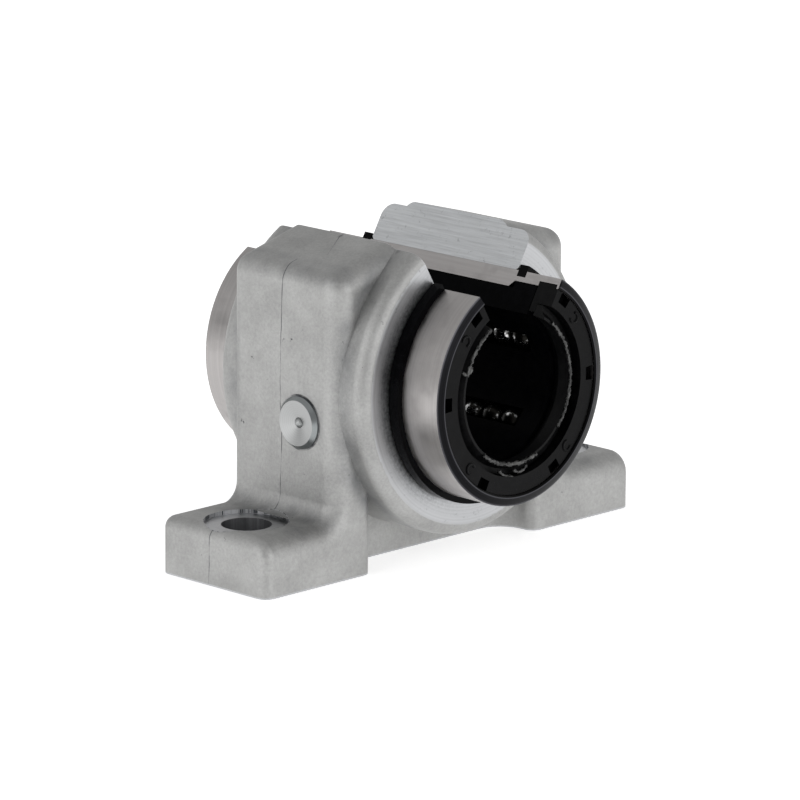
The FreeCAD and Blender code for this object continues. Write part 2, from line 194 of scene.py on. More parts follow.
def makeFloor():
    deselectAll()
    bpy.ops.mesh.primitive_plane_add(size=roomLook["floorSize"], location=(0, 0, -roomLook["floorDrop"]))
    floor = bpy.context.object
    floor.name = "floor"
    material = bpy.data.materials.new("palePaper")
    tree = newTree(material)
    path = addNode(tree, "LightPath", {}, {})
    paper = addNode(tree, "BsdfDiffuse", {}, {"Color": linear(roomLook["paper"])})
    glow = addNode(tree, "MapRange", {}, {
        0: path.outputs["Is Camera Ray"], 3: roomLook["floorGlow"], 4: roomLook["floorSeen"],
    })
    white = addNode(tree, "Emission", {}, {"Color": grey(1.0), "Strength": glow})
    lit = addNode(tree, "AddShader", {}, {0: paper, 1: white})
    addNode(tree, "OutputMaterial", {}, {0: lit})
    floor.data.materials.append(material)


lampLook = {
    "aim": (0, 0, 0.02),
    "softboxes": {
        "leftSoftbox": {"from": (-0.9, 0.1, 0.3), "size": 0.8, "power": 2.4},
        "frontSoftbox": {"from": (0.15, -1.0, 0.25), "size": 0.8, "power": 3.0},
    },
}


def makeLamps():
    for name, look in lampLook["softboxes"].items():
        data = bpy.data.lights.new(name, "AREA")
        data.size = look["size"]
        data.energy = look["power"]
        lamp = bpy.data.objects.new(name, data)
        lamp.location = look["from"]
        towards = Vector(lampLook["aim"]) - Vector(look["from"])
        lamp.rotation_mode = "QUATERNION"
        lamp.rotation_quaternion = towards.to_track_quat("-Z", "Y")
        bpy.context.scene.collection.objects.link(lamp)


makeCamera()
makeWorld()
makeFloor()
makeLamps()
print("camera, room and lamps made")


# Starts a material: its tree, its shader, and the place in mm, counted from the middle of the bearing's axis.
def newMaterial(name):
    material = bpy.data.materials.new(name)
    tree = newTree(material)
    shader = addNode(tree, "BsdfPrincipled", {}, {})
    addNode(tree, "OutputMaterial", {}, {"Surface": shader})
    coordinates = addNode(tree, "TexCoord", {}, {})
    place = addNode(tree, "Mapping", {}, {
        "Vector": coordinates.outputs["Object"],
        "Location": (0, 0, -blockSizes["axisHeight"]),
        "Scale": (1 / mm, 1 / mm, 1 / mm),
    })
    return material, tree, shader, place


# 1 where the value is within reach of the target, falling to 0 over the soft width beyond.
def band(tree, value, target, reach, soft):
    away = addNode(tree, "Math", {"operation": "SUBTRACT"}, {0: value, 1: target})
    size = addNode(tree, "Math", {"operation": "ABSOLUTE"}, {0: away})
    return addNode(tree, "MapRange", {}, {0: size, 1: reach, 2: reach + soft, 3: 1.0, 4: 0.0})


# Distance from a line through the centre; across is 0 along that line and 1 the other ways.
def distanceFrom(tree, place, centre, across):
    moved = addNode(tree, "VectorMath", {"operation": "SUBTRACT"}, {0: place, 1: centre})
    flat = addNode(tree, "VectorMath", {"operation": "MULTIPLY"}, {0: moved, 1: across})
    return addNode(tree, "VectorMath", {"operation": "LENGTH"}, {0: flat}).outputs["Value"]


# Die-cast aluminium: satin neutral grey with a fine grain, soft clouds, dark pits and a parting line,
# and brighter, with tool marks, where it was machined. Patterns are counted per mm.
castLook = {
    "skin": "#b3b3b2",
    "cloud": "#a0a09f",
    "cloudsPerMm": 0.16,
    "grainPerMm": 2.6,
    "pit": "#4b4c4e",
    "pitsPerMm": 0.55,
    "bigPits": (
        ((-35.3, -9.7, -18.0), 0.55),
        ((-22.3, -9.3, 16.0), 0.5),
        ((-11.4, -10.0, 19.0), 0.7),
        ((-12.0, 0.1, 19.6), 0.6),
    ),
    # Dark grey for old grease, oil and specks, also laid on as painted shade in the corners and valleys.
    "stainAndShade": "#66686b",
    "stainsPerMm": 0.3,
    # Where the casting is darkened, by painted shade with old grease in roots and valleys and weaker on the towers'
    # ledges: two bands that cross, each by measure, target, reach and soft width, and a strength.
    "shadeAndStainZones": {
        "footRoots": (("up", -16.6, 0.5, 1.3), ("sideways", 26.0, 2.0, 3.0), 1.0),
        "barrelValleys": (("endways", 10.4, 0.5, 1.6), ("outward", 22.3, 0.5, 1.6), 1.0),
        "towerLedges": (("up", 16.6, 0.9, 1.2), ("sideways", 21.0, 1.6, 1.4), 0.5),
    },
    "seam": "#55565a",
    "seamHalfWidth": 0.02,
    "seamSoft": 0.07,
    "seamWander": (0.3, 0.9),
    "seamWandersPerMm": 0.1,
    "seamOffBore": 3,
    "seamSlope": {"above": 17.2, "inner": (-12.0, 0.15), "outer": (-17.0, -2.6)},
    "machined": "#b8b9bb",
    "slot": "#c8cacc",
    "scratchesPerMm": (3.5, 0.12, 3.5),
    "ringsPerMm": 4.0,
    "specksPerMm": 1.1,
    # Oil round the bore, partly painted shade on the left: its reach from the bore and its fade from left to right.
    "oilAndShadeReach": (0.7, 2.4),
    "oilAndShadeFades": {"from": -13.0, "to": -2.0, "left": 0.15},
    # Painted shade inside the drilled holes.
    "holeInnerShade": "#6d6e70",
    # Dark stripes of painted reflection on the spotfaces' walls.
    "wallDarkReflection": "#505356",
    "streaksPerMm": 1.6,
    "wallReach": 0.52,
    "skinRoughness": 0.56,
    "machinedRoughness": 0.36,
    "grainHeight": 0.05,
    "pitDepth": 0.08,
    "markHeight": 0.02,
}


# Measures on the casting, from the bearing's axis and from the nearer bolt hole's.
def castMeasures(tree, place):
    x, y, z = addNode(tree, "SeparateXYZ", {}, {0: place}).outputs
    sideways = addNode(tree, "Math", {"operation": "ABSOLUTE"}, {0: x})
    acrossHole = addNode(tree, "Math", {"operation": "SUBTRACT"}, {0: sideways, 1: blockSizes["boltAcross"]})
    fromHole = addNode(tree, "CombineXYZ", {}, {"X": acrossHole, "Y": y})
    return {
        "place": place,
        "x": x,
        "y": y,
        "up": z,
        "sideways": sideways,
        "endways": addNode(tree, "Math", {"operation": "ABSOLUTE"}, {0: y}),
        "outward": distanceFrom(tree, place, (0, 0, 0), (1, 0, 1)),
        "fromHole": fromHole,
        "holeRadius": addNode(tree, "VectorMath", {"operation": "LENGTH"}, {0: fromHole}).outputs["Value"],
    }


# Where a cutter has been: the slot's leaning faces, the barrel's ends, the spotfaces and the base.
def castCuts(tree, at):
    lean = math.radians(blockSizes["slotLean"])
    level = addNode(tree, "Math", {"operation": "MULTIPLY"}, {0: at["sideways"], 1: math.cos(lean)})
    rise = addNode(tree, "Math", {"operation": "MULTIPLY"}, {0: at["up"], 1: math.sin(lean)})
    offSlot = addNode(tree, "Math", {"operation": "SUBTRACT"}, {0: level, 1: rise})
    onSlot = band(tree, offSlot, 0.0, blockSizes["touch"], 0.01)
    aboveBore = band(tree, at["up"], blockSizes["slotMiddle"], blockSizes["slotReach"], 0.1)
    slotFace = addNode(tree, "Math", both, {0: onSlot, 1: aboveBore})
    endFace = band(tree, at["endways"], blockSizes["barrelFace"], blockSizes["touch"], 0.02)
    onFloor = band(tree, at["up"], blockSizes["spotfaceFloor"], blockSizes["touch"], 0.01)
    roundHole = band(tree, at["holeRadius"], 0.0, blockSizes["spotfaceRadius"] + blockSizes["clear"], 0.02)
    spotface = addNode(tree, "Math", both, {0: onFloor, 1: roundHole})
    base = band(tree, at["up"], -blockSizes["axisHeight"], 0.2, 0.05)
    square = addNode(tree, "Math", either, {0: endFace, 1: spotface})
    square = addNode(tree, "Math", either, {0: square, 1: base})
    machined = addNode(tree, "Math", either, {0: slotFace, 1: square})
    return slotFace, endFace, machined


# Clouds, grain and pits of the cast skin.
def castSkin(tree, at):
    place = at["place"]
    clouds = addNode(tree, "TexNoise", {}, {
        "Vector": place, "Scale": castLook["cloudsPerMm"], "Detail": 5.0, "Roughness": 0.62,
    })
    cloudShade = addNode(tree, "ValToRGB", {}, {0: clouds}, [
        (0.34, linear(castLook["cloud"])), (0.66, linear(castLook["skin"])),
    ])
    grain = addNode(tree, "TexNoise", {}, {
        "Vector": place, "Scale": castLook["grainPerMm"], "Detail": 4.0, "Roughness": 0.7,
    })
    speckle = addNode(tree, "MapRange", {}, {0: grain, 1: 0.3, 2: 0.7, 3: 0.89, 4: 1.1})
    skin = addNode(tree, "Mix", tint, {0: 1.0, 6: cloudShade, 7: speckle})
    pitNoise = addNode(tree, "TexNoise", {}, {
        "Vector": place, "Scale": castLook["pitsPerMm"], "Detail": 3.0, "Roughness": 0.75,
    })
    pits = addNode(tree, "MapRange", {}, {0: pitNoise, 1: 0.7, 2: 0.77})
    for spot, size in castLook["bigPits"]:
        away = addNode(tree, "VectorMath", {"operation": "DISTANCE"}, {0: place, 1: spot}).outputs["Value"]
        pit = addNode(tree, "MapRange", {}, {0: away, 1: size * 0.4, 2: size, 3: 0.8, 4: 0.0})
        pits = addNode(tree, "Math", either, {0: pits, 1: pit})
    pitted = addNode(tree, "Mix", colourMix, {0: pits, 6: skin.outputs[2], 7: linear(castLook["pit"])})
    return clouds, grain, pits, pitted.outputs[2]


# Painted shade mixed with old grease in the roots of the feet and where barrel and towers meet, and a weaker darkening
# along the towers' ledges.
def castShadeAndStain(tree, at, colour):
    zones = 0.0
    for first, second, strength in castLook["shadeAndStainZones"].values():
        zone = strength
        for measure, target, reach, soft in (first, second):
            zone = addNode(tree, "Math", both, {0: zone, 1: band(tree, at[measure], target, reach, soft)})
        zones = addNode(tree, "Math", either, {0: zones, 1: zone})
    blots = addNode(tree, "TexNoise", {}, {
        "Vector": at["place"], "Scale": castLook["stainsPerMm"], "Detail": 4.0,
    })
    patchy = addNode(tree, "MapRange", {}, {0: blots, 1: 0.35, 2: 0.65, 3: 0.1, 4: 0.5})
    stainAndShade = addNode(tree, "Math", both, {0: zones, 1: patchy})
    shadedAndStained = addNode(tree, "Mix", colourMix, {0: stainAndShade, 6: colour, 7: linear(castLook["stainAndShade"])})
    return blots, shadedAndStained.outputs[2]


# The die's parting line wanders round the middle of the casting, slants over the left tower's slope,
# and stays off the bore and the spotfaces. A like dark line rings the nipple's seat.
def castSeam(tree, at, blots, colour):
    slope = castLook["seamSlope"]
    (innerX, innerY), (outerX, outerY) = slope["inner"], slope["outer"]
    least, most = castLook["seamWander"]
    wander = addNode(tree, "TexNoise", {}, {
        "Vector": at["place"], "Scale": castLook["seamWandersPerMm"], "Detail": 3.0,
    })
    shift = addNode(tree, "MapRange", {}, {0: wander, 1: 0.3, 2: 0.7, 3: least, 4: most})
    slant = addNode(tree, "MapRange", {}, {0: at["x"], 1: outerX, 2: innerX, 3: outerY, 4: innerY})
    above = addNode(tree, "Math", {"operation": "GREATER_THAN"}, {0: at["up"], 1: slope["above"]})
    left = addNode(tree, "Math", {"operation": "LESS_THAN"}, {0: at["x"], 1: 0.0})
    past = addNode(tree, "Math", {"operation": "LESS_THAN"}, {0: at["x"], 1: outerX - 0.2})
    onSlope = addNode(tree, "Math", both, {0: above, 1: left})
    pastSlope = addNode(tree, "Math", both, {0: above, 1: past})
    plain = addNode(tree, "Math", {"operation": "SUBTRACT"}, {0: 1.0, 1: pastSlope})
    route = addNode(tree, "Mix", numberMix, {0: onSlope, 2: shift, 3: slant})
    offSeam = addNode(tree, "Math", {"operation": "SUBTRACT"}, {0: at["y"], 1: route})
    offHole = addNode(tree, "Math", {"operation": "GREATER_THAN"}, {
        0: at["holeRadius"], 1: blockSizes["spotfaceRadius"] + blockSizes["clear"],
    })
    offBore = addNode(tree, "Math", {"operation": "GREATER_THAN"}, {
        0: at["outward"], 1: blockSizes["boreRadius"] + castLook["seamOffBore"],
    })
    outside = addNode(tree, "Math", both, {0: offHole, 1: offBore})
    outside = addNode(tree, "Math", both, {0: outside, 1: plain})
    onSeam = band(tree, offSeam, 0.0, castLook["seamHalfWidth"], castLook["seamSoft"])
    seamLine = addNode(tree, "Math", both, {0: onSeam, 1: outside})

    nippleRadius = distanceFrom(tree, at["place"], blockSizes["nippleAxis"], (0, 1, 1))
    onPillar = addNode(tree, "Math", {"operation": "LESS_THAN"}, {0: at["x"], 1: blockSizes["pillarSide"] + 0.1})
    roundSeat = band(tree, nippleRadius, blockSizes["nippleSeat"], 0.08, 0.1)
    seatLine = addNode(tree, "Math", both, {0: roundSeat, 1: onPillar})

    broken = addNode(tree, "MapRange", {}, {0: blots, 1: 0.4, 2: 0.55, 3: 0.25, 4: 1.0})
    lines = addNode(tree, "Math", either, {0: seamLine, 1: seatLine})
    seam = addNode(tree, "Math", both, {0: lines, 1: broken})
    seamed = addNode(tree, "Mix", colourMix, {0: seam, 6: colour, 7: linear(castLook["seam"])})
    return seam, seamed.outputs[2]


# Scratches along the slot, rings on the barrel's ends and in the spotfaces, dark specks,
# and oil that creeps out of the bore, most of it on the left, where it is also painted shade.
def castToolMarks(tree, at, slotFace, endFace, grain):
    along = addNode(tree, "Mapping", {}, {"Vector": at["place"], "Scale": castLook["scratchesPerMm"]})
    scratches = addNode(tree, "TexNoise", {}, {"Vector": along, "Scale": 1.0, "Detail": 5.0, "Roughness": 0.7})
    outward = addNode(tree, "CombineXYZ", {}, {"X": at["outward"]})
    rings = addNode(tree, "TexNoise", {}, {
        "Vector": outward, "Scale": castLook["ringsPerMm"], "Detail": 4.0, "Roughness": 0.7,
    })
    marks = addNode(tree, "Mix", numberMix, {0: slotFace, 2: rings, 3: scratches})
    markShade = addNode(tree, "MapRange", {}, {0: marks, 1: 0.25, 2: 0.75, 3: 0.78, 4: 1.14})
    cut = addNode(tree, "Mix", colourMix, {
        0: slotFace, 6: linear(castLook["machined"]), 7: linear(castLook["slot"]),
    })
    marked = addNode(tree, "Mix", tint, {0: 1.0, 6: cut.outputs[2], 7: markShade})
    specks = addNode(tree, "TexNoise", {}, {
        "Vector": at["place"], "Scale": castLook["specksPerMm"], "Detail": 4.0, "Roughness": 0.8,
    })
    spots = addNode(tree, "MapRange", {}, {0: specks, 1: 0.6, 2: 0.72, 3: 0.0, 4: 0.6})
    # Oil round the bore on the barrel's ends, full on the left and fading to the right; on the left it is partly
    # painted shade.
    fades = castLook["oilAndShadeFades"]
    leftward = addNode(tree, "MapRange", {}, {0: at["x"], 1: fades["from"], 2: fades["to"], 3: 1.0, 4: fades["left"]})
    roundBore = band(tree, at["outward"], blockSizes["boreRadius"], *castLook["oilAndShadeReach"])
    oilAndShadeZone = addNode(tree, "Math", both, {0: roundBore, 1: endFace})
    oilAndShadeZone = addNode(tree, "Math", both, {0: oilAndShadeZone, 1: leftward})
    smears = addNode(tree, "MapRange", {}, {0: grain, 1: 0.4, 2: 0.62, 3: 0.15, 4: 0.85})
    oilAndShade = addNode(tree, "Math", both, {0: oilAndShadeZone, 1: smears})
    dirtAndShade = addNode(tree, "Math", either, {0: spots, 1: oilAndShade})
    bright = addNode(tree, "Mix", colourMix, {0: dirtAndShade, 6: marked.outputs[2], 7: linear(castLook["stainAndShade"])})
    return marks, bright.outputs[2]


# Drilled holes are painted dark as the shade inside them, and streaked downwards; the spotfaces' walls carry painted
# reflections, streaks of light and dark.
def castHoles(tree, at, colour):
    perMm = castLook["streaksPerMm"]
    streakPlace = addNode(tree, "Mapping", {}, {"Vector": at["fromHole"], "Scale": (perMm, perMm, 0.0)})
    streaks = addNode(tree, "TexNoise", {}, {"Vector": streakPlace, "Scale": 1.0, "Detail": 3.0, "Roughness": 0.7})
    inHole = band(tree, at["holeRadius"], 0.0, blockSizes["boltRadius"] + blockSizes["touch"], 0.03)
    nearWall = band(tree, at["holeRadius"], blockSizes["spotfaceRadius"], 0.04, 0.02)
    wallHeight = band(tree, at["up"], blockSizes["footTop"], castLook["wallReach"], 0.02)
    onWall = addNode(tree, "Math", both, {0: nearWall, 1: wallHeight})
    # Painted reflections on the spotface wall: stripes from dark to light.
    wallReflections = addNode(tree, "ValToRGB", {}, {0: streaks}, [
        (0.42, linear(castLook["wallDarkReflection"])), (0.52, linear(castLook["machined"])),
    ])
    walled = addNode(tree, "Mix", colourMix, {0: onWall, 6: colour, 7: wallReflections})
    holeShade = addNode(tree, "MapRange", {}, {0: streaks, 1: 0.3, 2: 0.7, 3: 0.7, 4: 1.15})
    shadedHole = addNode(tree, "Mix", tint, {0: 1.0, 6: linear(castLook["holeInnerShade"]), 7: holeShade})
    return addNode(tree, "Mix", colourMix, {0: inHole, 6: walled.outputs[2], 7: shadedHole.outputs[2]}).outputs[2]


def castAluminium():
    material, tree, shader, place = newMaterial("dieCastAluminium")
    at = castMeasures(tree, place)
    slotFace, endFace, machined = castCuts(tree, at)
    clouds, grain, pits, skin = castSkin(tree, at)
    # Painted shade and old grease in the corners, then the seam over them.
    blots, shadedAndStained = castShadeAndStain(tree, at, skin)
    seam, cast = castSeam(tree, at, blots, shadedAndStained)
    marks, cut = castToolMarks(tree, at, slotFace, endFace, grain)
    surface = addNode(tree, "Mix", colourMix, {0: machined, 6: cast, 7: cut}).outputs[2]
    tree.links.new(castHoles(tree, at, surface), shader.inputs["Base Color"])
    shader.inputs["Metallic"].default_value = 1.0

    gloss = addNode(tree, "MapRange", {}, {
        0: machined, 3: castLook["skinRoughness"], 4: castLook["machinedRoughness"],
    })
    patch = addNode(tree, "MapRange", {}, {0: clouds, 1: 0.3, 2: 0.7, 3: -0.05, 4: 0.05})
    rough = addNode(tree, "Math", {"operation": "ADD", "use_clamp": True}, {0: gloss, 1: patch})
    tree.links.new(rough.outputs[0], shader.inputs["Roughness"])

    # Heights in mm: a grainy skin with sunk pits and seam, and shallow tool marks.
    grainy = addNode(tree, "Math", {"operation": "MULTIPLY"}, {0: grain, 1: castLook["grainHeight"]})
    sunk = addNode(tree, "Math", either, {0: pits, 1: seam})
    skinHeight = addNode(tree, "Math", {"operation": "MULTIPLY_ADD"}, {
        0: sunk, 1: -castLook["pitDepth"], 2: grainy,
    })
    markHeight = addNode(tree, "Math", {"operation": "MULTIPLY"}, {0: marks, 1: castLook["markHeight"]})
    height = addNode(tree, "Mix", numberMix, {0: machined, 2: skinHeight, 3: markHeight})
    bump = addNode(tree, "Bump", {}, {"Strength": 0.8, "Distance": mm, "Height": height})
    tree.links.new(bump.outputs[0], shader.inputs["Normal"])
    return material


# Ground bearing steel: warm satin grey, faintly ringed round the axis and drawn lengthwise on the cut,
# with dark turned ends whose steps show as thin rings of painted highlight and painted shade.
sleeveLook = {
    "ground": "#aeabaa",
    "worn": "#a4a1a0",
    "scuff": "#8e8b8a",
    "scuffsPerMm": 0.35,
    "groundPerMm": (0.02, 4.0, 0.02),
    "cutPerMm": (2.2, 0.06, 2.2),
    "cutInside": 15.97,
    "rimFrom": 22.14,
    "rimRadii": (14.4, 16.0),
    "rimDark": "#19191b",
    # Painted highlight on the rim's step edges, and painted shade in its grooves.
    "rimLineHighlight": "#4b4b4f",
    "rimGrooveShade": "#121213",
    "rimBands": (
        (0.2, "rimGrooveShade"), (0.27, "rimLineHighlight"), (0.36, "rimDark"), (0.52, "rimDark"),
        (0.56, "rimGrooveShade"), (0.6, "rimDark"), (0.84, "rimDark"), (0.94, "rimLineHighlight"),
    ),
    "roughness": 0.28,
    "scuffRoughness": 0.42,
}


def sleeveSteel():
    material, tree, shader, place = newMaterial("groundBearingSteel")
    y = addNode(tree, "SeparateXYZ", {}, {0: place}).outputs[1]
    endways = addNode(tree, "Math", {"operation": "ABSOLUTE"}, {0: y})
    radius = distanceFrom(tree, place, (0, 0, 0), (1, 0, 1))
    rim = addNode(tree, "Math", {"operation": "GREATER_THAN"}, {0: endways, 1: sleeveLook["rimFrom"]})
    turned = addNode(tree, "Mapping", {}, {"Vector": place, "Scale": sleeveLook["groundPerMm"]})
    drawn = addNode(tree, "Mapping", {}, {"Vector": place, "Scale": sleeveLook["cutPerMm"]})
    cut = addNode(tree, "Math", {"operation": "LESS_THAN"}, {0: radius, 1: sleeveLook["cutInside"]})
    grainPlace = addNode(tree, "Mix", {"data_type": "VECTOR"}, {0: cut, 4: turned, 5: drawn})
    lines = addNode(tree, "TexNoise", {}, {
        "Vector": grainPlace.outputs[1], "Scale": 1.0, "Detail": 4.0, "Roughness": 0.6,
    })
    ground = addNode(tree, "ValToRGB", {}, {0: lines}, [
        (0.35, linear(sleeveLook["worn"])), (0.65, linear(sleeveLook["ground"])),
    ])
    cloud = addNode(tree, "TexNoise", {}, {
        "Vector": place, "Scale": sleeveLook["scuffsPerMm"], "Detail": 4.0, "Roughness": 0.6,
    })
    scuffs = addNode(tree, "MapRange", {}, {0: cloud, 1: 0.5, 2: 0.75, 3: 0.0, 4: 0.5})
    body = addNode(tree, "Mix", colourMix, {0: scuffs, 6: ground, 7: linear(sleeveLook["scuff"])})
    # Rings of painted highlight and painted shade across the turned ends.
    inner, outer = sleeveLook["rimRadii"]
    across = addNode(tree, "MapRange", {}, {0: radius, 1: inner, 2: outer})
    stops = [(position, linear(sleeveLook[name])) for position, name in sleeveLook["rimBands"]]
    rings = addNode(tree, "ValToRGB", {}, {0: across}, stops)
    shade = addNode(tree, "Mix", colourMix, {0: rim, 6: body.outputs[2], 7: rings})
    tree.links.new(shade.outputs[2], shader.inputs["Base Color"])
    shader.inputs["Metallic"].default_value = 1.0
    rough = addNode(tree, "MapRange", {}, {
        0: cloud, 1: 0.35, 2: 0.7, 3: sleeveLook["roughness"], 4: sleeveLook["scuffRoughness"],
    })
    tree.links.new(rough.outputs[0], shader.inputs["Roughness"])
    bump = addNode(tree, "Bump", {}, {"Strength": 0.3, "Distance": 0.01 * mm, "Height": lines})
    tree.links.new(bump.outputs[0], shader.inputs["Normal"])
    return material


# Dark materials share one build: a near-black colour that varies a little, and a fine surface.
darkLooks = {
    # Moulded polyamide: near black with a low sheen.
    "black_plastic": {
        "name": "mouldedBlackPolyamide", "deep": "#030304", "pale": "#0b0b0c", "roughness": 0.32, "gloss": 0.08,
    },
    # The same plastic for the ball cage inside the bore, darker: partly a coat of old grease, partly painted shade of
    # the bearing's dark inside.
    "shaded_greasy_plastic": {
        "name": "shadedGreasyBlackPolyamide", "deep": "#020203", "pale": "#08080a", "roughness": 0.4, "gloss": 0.02,
    },
    # Nitrile rubber: duller than the plastic, with dust in its grain.
    "black_rubber": {
        "name": "blackNitrileRubber", "deep": "#040405", "pale": "#111112", "roughness": 0.45, "gloss": 0.1,
    },
    # Torn flash and old grease: greyer and glossier than the rubber it clings to.
    "rubber_flash": {
        "name": "greasyRubberFlash", "deep": "#09090a", "pale": "#5c5c5b", "roughness": 0.28, "gloss": 0.5,
    },
    # Oxidised spring steel: black with a soft shine.
    "black_spring_steel": {
        "name": "blackOxideSpringSteel", "deep": "#020203", "pale": "#08080a", "roughness": 0.16, "gloss": 0.05,
    },
}
darkPatterns = {"dustPerMm": 0.8, "finePerMm": 5.0, "shinier": 0.06, "duller": 0.08}


def darkMaterial(look):
    material, tree, shader, place = newMaterial(look["name"])
    dust = addNode(tree, "TexNoise", {}, {
        "Vector": place, "Scale": darkPatterns["dustPerMm"], "Detail": 5.0, "Roughness": 0.65,
    })
    shade = addNode(tree, "ValToRGB", {}, {0: dust}, [
        (0.4, linear(look["deep"])), (0.72, linear(look["pale"])),
    ])
    tree.links.new(shade.outputs[0], shader.inputs["Base Color"])
    shader.inputs["Specular IOR Level"].default_value = look["gloss"]
    rough = addNode(tree, "MapRange", {}, {
        0: dust, 1: 0.3, 2: 0.7,
        3: look["roughness"] - darkPatterns["shinier"], 4: look["roughness"] + darkPatterns["duller"],
    })
    tree.links.new(rough.outputs[0], shader.inputs["Roughness"])
    fine = addNode(tree, "TexNoise", {}, {"Vector": place, "Scale": darkPatterns["finePerMm"], "Detail": 3.0})
    bump = addNode(tree, "Bump", {}, {"Strength": 0.3, "Distance": 0.02 * mm, "Height": fine})
    tree.links.new(bump.outputs[0], shader.inputs["Normal"])
    return material


# Polished ball steel: a mirror that shows only here and there through dark patches, partly a film of grease and partly
# painted shade of the bearing's dark inside.
# The nipple's check ball, far out on the side, is clean and satin.
ballLook = {
    "steel": "#cfcfcf",
    "greaseAndShade": "#1f1e1c",
    "greaseAndShadePerMm": 0.75,
    "roughness": 0.07,
    "greaseRoughness": 0.32,
    "satin": "#a2a4a4",
    "satinRoughness": 0.48,
    "satinBeyond": -18.0,
}


def ballSteel():
    material, tree, shader, place = newMaterial("polishedBallSteel")
    greaseAndShadeFilm = addNode(tree, "TexNoise", {}, {
        "Vector": place, "Scale": ballLook["greaseAndShadePerMm"], "Detail": 3.0, "Roughness": 0.6,
    })
    # Bright steel under patches that are partly grease and partly painted shade of the dark inside.
    shade = addNode(tree, "ValToRGB", {}, {0: greaseAndShadeFilm}, [
        (0.4, linear(ballLook["steel"])), (0.5, linear(ballLook["greaseAndShade"])),
    ])
    x = addNode(tree, "SeparateXYZ", {}, {0: place}).outputs[0]
    outside = addNode(tree, "Math", {"operation": "LESS_THAN"}, {0: x, 1: ballLook["satinBeyond"]})
    colour = addNode(tree, "Mix", colourMix, {0: outside, 6: shade, 7: linear(ballLook["satin"])})
    tree.links.new(colour.outputs[2], shader.inputs["Base Color"])
    rough = addNode(tree, "MapRange", {}, {
        0: greaseAndShadeFilm, 1: 0.4, 2: 0.5, 3: ballLook["roughness"], 4: ballLook["greaseRoughness"],
    })
    finish = addNode(tree, "Mix", numberMix, {0: outside, 2: rough, 3: ballLook["satinRoughness"]})
    tree.links.new(finish.outputs[0], shader.inputs["Roughness"])
    shader.inputs["Metallic"].default_value = 1.0
    return material


# Zinc plated turned steel: pale grey with faint turning rings round the nipple's axis; the outer cone is painted
# darker, a painted dark reflection.
zincLook = {
    "plate": "#abacac",
    "ring": "#a6a7a7",
    # Painted dark reflection on the nipple's outer cone.
    "coneDarkReflection": "#8f9394",
    "faceRadius": 3.1,
    "pitch": 0.3,
    "blotchesPerMm": 0.7,
    "roughness": 0.38,
    "coneRoughness": 0.3,
}


def zincSteel():
    material, tree, shader, place = newMaterial("zincPlatedTurnedSteel")
    radius = distanceFrom(tree, place, blockSizes["nippleAxis"], (0, 1, 1))
    turn = addNode(tree, "Math", {"operation": "MULTIPLY"}, {0: radius, 1: 2 * math.pi / zincLook["pitch"]})
    turns = addNode(tree, "Math", {"operation": "SINE"}, {0: turn})
    blotch = addNode(tree, "TexNoise", {}, {"Vector": place, "Scale": zincLook["blotchesPerMm"], "Detail": 3.0})
    wavy = addNode(tree, "Math", {"operation": "MULTIPLY"}, {0: turns, 1: blotch})
    shade = addNode(tree, "MapRange", {}, {0: wavy, 1: -0.6, 2: 0.5})
    colour = addNode(tree, "ValToRGB", {}, {0: shade}, [
        (0.1, linear(zincLook["ring"])), (0.7, linear(zincLook["plate"])),
    ])
    # Past the face's edge, the outer cone takes its painted dark reflection.
    edge = addNode(tree, "MapRange", {}, {
        0: radius, 1: zincLook["faceRadius"] - 0.02, 2: zincLook["faceRadius"] + 0.04,
    })
    withDarkCone = addNode(tree, "Mix", colourMix, {0: edge, 6: colour, 7: linear(zincLook["coneDarkReflection"])})
    tree.links.new(withDarkCone.outputs[2], shader.inputs["Base Color"])
    shader.inputs["Metallic"].default_value = 1.0
    rough = addNode(tree, "MapRange", {}, {0: edge, 3: zincLook["roughness"], 4: zincLook["coneRoughness"]})
    tree.links.new(rough.outputs[0], shader.inputs["Roughness"])
    bump = addNode(tree, "Bump", {}, {"Strength": 0.1, "Distance": 0.004 * mm, "Height": shade})
    tree.links.new(bump.outputs[0], shader.inputs["Normal"])
    return material


finishes = {
    "cast_aluminium": castAluminium(),
    "sleeve_steel": sleeveSteel(),
    "ball_steel": ballSteel(),
    "zinc_plated_steel": zincSteel(),
}
for finishName, look in darkLooks.items():
    finishes[finishName] = darkMaterial(look)
print("materials made:", len(finishes))

# The ball cage takes the darker copy of the black plastic, partly painted shade.
twinLook = {"mergeWithin": 1e-6, "smoothBelow": 25, "finishes": {"ball_cage": "shaded_greasy_plastic"}}


# A finished twin of a node: the same solid with its loose triangles joined, its curves smooth and its flats flat.
def makeTwin(name):
    deselectAll()
    node = frame["nodes"][name]
    node.data.materials.clear()
    node.data.materials.append(finishes[twinLook["finishes"].get(name, slots[name])])
    node.select_set(True)
    bpy.context.view_layer.objects.active = node
    bpy.ops.object.duplicate()
    twin = bpy.context.object
    twin.name = name + "_finished"
    twin.parent = None
    for key in list(twin.keys()):
        del twin[key]
    bpy.ops.object.mode_set(mode="EDIT")
    bpy.ops.mesh.select_all(action="SELECT")
    bpy.ops.mesh.remove_doubles(threshold=twinLook["mergeWithin"])
    bpy.ops.object.mode_set(mode="OBJECT")
    bpy.ops.mesh.customdata_custom_splitnormals_clear()
    bpy.ops.object.shade_smooth_by_angle(angle=math.radians(twinLook["smoothBelow"]))
    bpy.ops.object.modifier_add(type="WEIGHTED_NORMAL")
    twin.modifiers[-1].keep_sharp = True
    bpy.ops.object.modifier_apply(modifier=twin.modifiers[-1].name)
    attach(twin, "root")
    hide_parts(name)


for nodeName in sorted(frame["nodes"]):
    makeTwin(nodeName)
print("nodes dressed:", len(frame["nodes"]))


torusLook = {"roundSegments": 10, "smoothBelow": 50}


